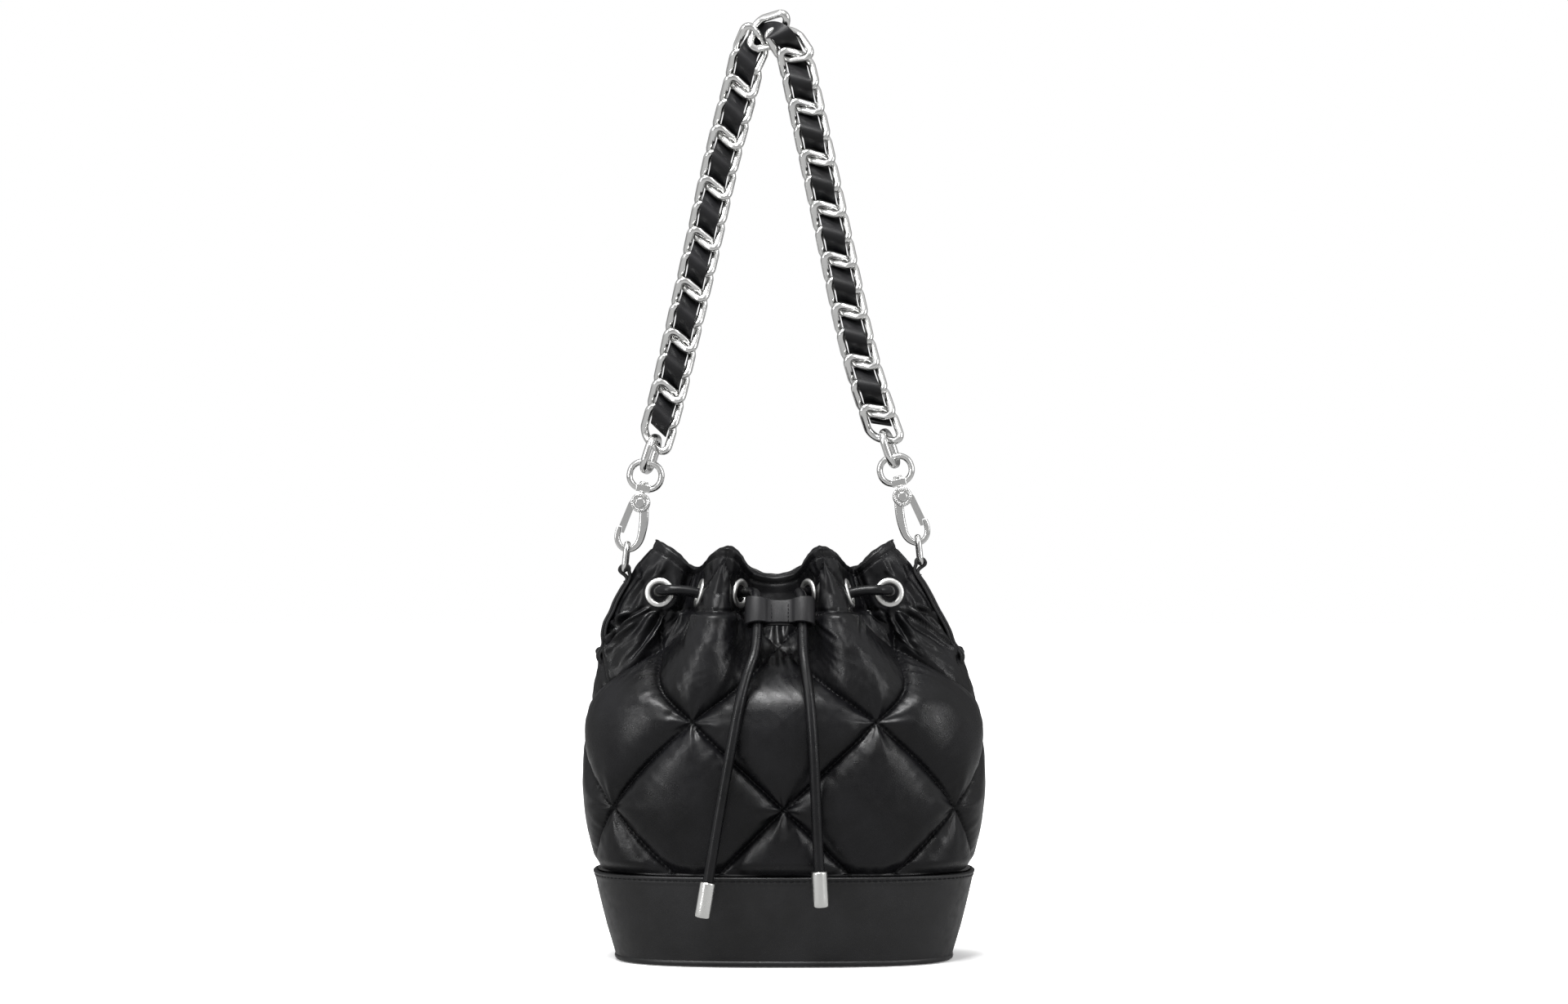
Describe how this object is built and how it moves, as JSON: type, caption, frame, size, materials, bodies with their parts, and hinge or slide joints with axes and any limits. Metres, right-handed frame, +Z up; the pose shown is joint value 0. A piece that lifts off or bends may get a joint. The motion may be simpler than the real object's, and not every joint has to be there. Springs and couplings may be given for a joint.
{
  "type": "bucket bag",
  "caption": "Quilted leather bucket bag with a drawcord mouth, a smooth base band and a clip-on chain shoulder strap laced with leather.",
  "frame": {"origin": "middle of the bag's extent, on the plane it stands on", "axes": "+Z up, +X to the bag's left-hand end as worn facing the front, -Y towards the front where the drawcord is tied"},
  "size_m": [0.1918, 0.1342, 0.4461],
  "materials": {
    "quilted_leather": "soft grained, satin",
    "smooth_leather": "smooth, satin",
    "cord_leather": "smooth, satin",
    "strap_leather": "matte",
    "lining_cloth": "woven twill",
    "board": "matte",
    "satin_nickel": "satin",
    "tip_metal": "polished",
    "spring_steel": "bright",
    "polished_nickel": "polished"
  },
  "bodies": {
    "bag": {"base_band_back": "smooth_leather", "base_band_front": "smooth_leather", "base_board": "board", "base_panel": "smooth_leather", "base_piping": "smooth_leather", "cord_tail_left": "cord_leather", "cord_tail_right": "cord_leather", "cord_tip_left": "tip_metal", "cord_tip_right": "tip_metal", "drawcord": "cord_leather", "eyelet_washers": "satin_nickel", "eyelets": "satin_nickel", "lining_back": "lining_cloth", "lining_floor": "lining_cloth", "lining_front": "lining_cloth", "rim_facing_back": "smooth_leather", "rim_facing_front": "smooth_leather", "side_tab_left": "smooth_leather", "side_tab_right": "smooth_leather", "wall_panel_back": "quilted_leather", "wall_panel_front": "quilted_leather"},
    "strap": {"chain_section_01": "polished_nickel", "chain_section_02": "polished_nickel", "chain_section_03": "polished_nickel", "chain_section_04": "polished_nickel", "chain_section_05": "polished_nickel", "chain_section_06": "polished_nickel", "chain_section_07": "polished_nickel", "strap_strip": "strap_leather"},
    "slider": {"cinch_slider": "smooth_leather"},
    "tab_ring_left": {"tab_ring_left": "polished_nickel"},
    "clasp_left": {"clasp_body_left": "polished_nickel", "gate_rivet_left": "polished_nickel", "gate_spring_left": "spring_steel", "swivel_pin_left": "polished_nickel"},
    "gate_left": {"clasp_gate_left": "polished_nickel"},
    "swivel_left": {"swivel_ring_left": "polished_nickel"},
    "tab_ring_right": {"tab_ring_right": "polished_nickel"},
    "clasp_right": {"clasp_body_right": "polished_nickel", "gate_rivet_right": "polished_nickel", "gate_spring_right": "spring_steel", "swivel_pin_right": "polished_nickel"},
    "gate_right": {"clasp_gate_right": "polished_nickel"},
    "swivel_right": {"swivel_ring_right": "polished_nickel"}
  },
  "joints": [
    {"name": "strap_swing", "type": "hinge", "parent": "bag", "child": "strap", "pos_m": [-0.06423, 0, 0.23314], "axis": [0.9997, 0, 0.0227], "range_deg": [-90, 90]},
    {"name": "slider_travel", "type": "slide", "parent": "bag", "child": "slider", "axis": [0, -0.4067, -0.9135], "range_m": [0, 0.01]},
    {"name": "ring_tilt_left", "type": "hinge", "parent": "bag", "child": "tab_ring_left", "pos_m": [-0.07526, 0, 0.18271], "axis": [0, 1, 0], "range_deg": [-0.5, 0.5]},
    {"name": "clasp_tilt_left", "type": "hinge", "parent": "tab_ring_left", "child": "clasp_left", "pos_m": [-0.074, 0, 0.19474], "axis": [0, 1, 0], "range_deg": [-0.25, 0.25]},
    {"name": "swivel_turn_left", "type": "hinge", "parent": "clasp_left", "child": "swivel_left", "pos_m": [-0.0654, 0, 0.227], "axis": [0.1877, 0, 0.9822], "range_deg": [-5, 5]},
    {"name": "gate_open_left", "type": "hinge", "parent": "clasp_left", "child": "gate_left", "pos_m": [-0.06784, 0, 0.21423], "axis": [0, -1, 0], "range_deg": [0, 18], "stiffness_Nm_per_rad": 0.004, "springref_deg": -17.19},
    {"name": "ring_tilt_right", "type": "hinge", "parent": "bag", "child": "tab_ring_right", "pos_m": [0.06445, 0, 0.18594], "axis": [0, 1, 0], "range_deg": [-0.5, 0.5]},
    {"name": "clasp_tilt_right", "type": "hinge", "parent": "tab_ring_right", "child": "clasp_right", "pos_m": [0.06318, 0, 0.19797], "axis": [0, 1, 0], "range_deg": [-0.25, 0.25]},
    {"name": "swivel_turn_right", "type": "hinge", "parent": "clasp_right", "child": "swivel_right", "pos_m": [0.0528, 0, 0.2297], "axis": [-0.2416, 0, 0.9704], "range_deg": [-5, 5]},
    {"name": "gate_open_right", "type": "hinge", "parent": "clasp_right", "child": "gate_right", "pos_m": [0.05594, 0, 0.21709], "axis": [0, 1, 0], "range_deg": [0, 18], "stiffness_Nm_per_rad": 0.004, "springref_deg": -17.19}
  ]
}
